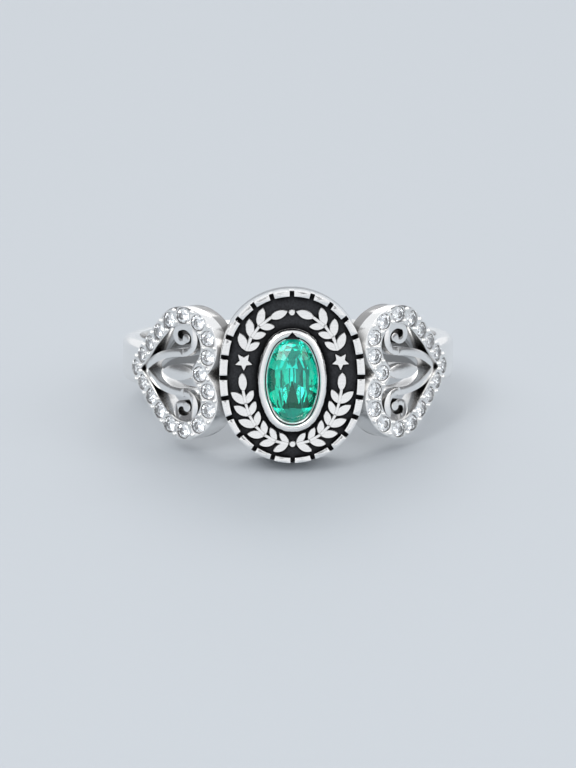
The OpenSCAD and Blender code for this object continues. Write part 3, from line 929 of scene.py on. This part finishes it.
pave_crown = 0.135
pave_table = 0.56
pave_star, pave_rise = 0.8, 0.62
pave_waist, pave_fall = 0.5, 0.52
pave_turn = 0.7
brilliant = gem("brilliant", [
    (circle_at(pave_r * pave_table, 8, 0.5), pave_crown),
    (circle_at(pave_r * pave_star, 8, 0), pave_crown * pave_rise),
    (circle_at(pave_r, 16, 0), 0),
    (circle_at(pave_r, 16, 0), -pave_belt),
    (circle_at(pave_r * pave_waist, 8, 0.5), -pave_belt - pave_base * pave_fall)],
    [(0, -pave_belt - pave_base + tip_r)])
for k, (x, y, turn) in enumerate(row):
    in_seat = (on_heart(x, y) @ Matrix.Translation((0, 0, -pave_sink))
               @ Matrix.Rotation(turn + pave_turn * k, 4, "Z"))
    stone = placed(spare(brilliant, "cut_stone_right_%02d" % (k + 1)), in_seat)
    other = mirrored(stone, "cut_stone_left_%02d" % (k + 1))
    finished(stone, clear, "clear_stone", "stone_right_%02d" % (k + 1))
    finished(other, clear, "clear_stone", "stone_left_%02d" % (k + 1))
bpy.data.objects.remove(brilliant)

# ---------------------------------------------------------------------------------------------------------
# The ring lies on a plain pale table in a bright studio, under three soft lights and two small ones that make
# the stones sparkle. The camera looks at the head from a little above.
bpy.ops.mesh.primitive_plane_add(size=6, location=(0, 0, cad_box[0][2]))
table = bpy.context.object
table.name = "table"
paper, nodes, links, main = shader("pale_table")
main.inputs["Base Color"].default_value = (0.46, 0.49, 0.52, 1)
main.inputs["Roughness"].default_value = 0.6
table.data.materials.append(paper)

# The camera's height over the ring and its turn from the front were found by matching the photograph.
height, turn, away = radians(17.37), radians(-1.216), 0.3
view = Vector((sin(turn) * cos(height), -cos(turn) * cos(height), sin(height)))

world = bpy.data.worlds.new("studio")
bpy.context.scene.world = world
world.use_nodes = True
nodes, links = world.node_tree.nodes, world.node_tree.links
sky = nodes["Background"]
sky.inputs["Strength"].default_value = 0.95
way = nodes.new("ShaderNodeTexCoord")


def towards(direction, wide, narrow):
    """Mask of the part of the studio that lies within an angle of a direction."""
    node = nodes.new("ShaderNodeVectorMath")
    node.operation = "DOT_PRODUCT"
    node.inputs[1].default_value = direction
    links.new(way.outputs["Generated"], node.inputs[0])
    return mapped(nodes, links, node.outputs["Value"], cos(wide), cos(narrow), 0, 1)


# The studio is bright, but for a dark round where the camera stands and a dim gap at either side.
light = blended(nodes, links, towards(view, radians(8), radians(5)),
                (0.95, 0.97, 1.0, 1), (0.05, 0.05, 0.06, 1))
for side in (-1, 1):
    gap = towards((side * 0.98, -0.12, 0.16), radians(26), radians(12))
    light = blended(nodes, links, gap, light, (0.16, 0.165, 0.175, 1))
links.new(light, sky.inputs["Color"])


def softbox(name, place, size, power):
    """A square or oblong lamp that points at the ring."""
    lamp = bpy.data.lights.new(name, "AREA")
    lamp.shape = "RECTANGLE"
    lamp.size, lamp.size_y = size
    lamp.energy = power
    item = bpy.data.objects.new(name, lamp)
    item.location = place
    item.rotation_euler = (-Vector(place)).to_track_quat("-Z", "Y").to_euler()
    bpy.context.collection.objects.link(item)
    return item


softbox("key_light", (-0.25, -0.35, 0.45), (0.3, 0.3), 1.0)
softbox("fill_light", (0.4, -0.2, 0.25), (0.3, 0.3), 0.4)
softbox("back_light", (0.05, 0.45, 0.35), (0.5, 0.2), 0.6)
for side in (-1, 1):
    softbox("spark_light", (side * 0.16, -0.36, 0.3), (0.05, 0.05), 0.1)

lens = bpy.data.cameras.new("camera")
lens.lens = 228.3
lens.sensor_width = 36
lens.shift_y = -0.0373
lens.clip_start = 0.01
camera = bpy.data.objects.new("camera", lens)
camera.location = away * view
camera.rotation_euler = (-camera.location).to_track_quat("-Z", "Y").to_euler()
bpy.context.collection.objects.link(camera)
bpy.context.scene.camera = camera
bpy.context.scene.view_settings.view_transform = "Standard"
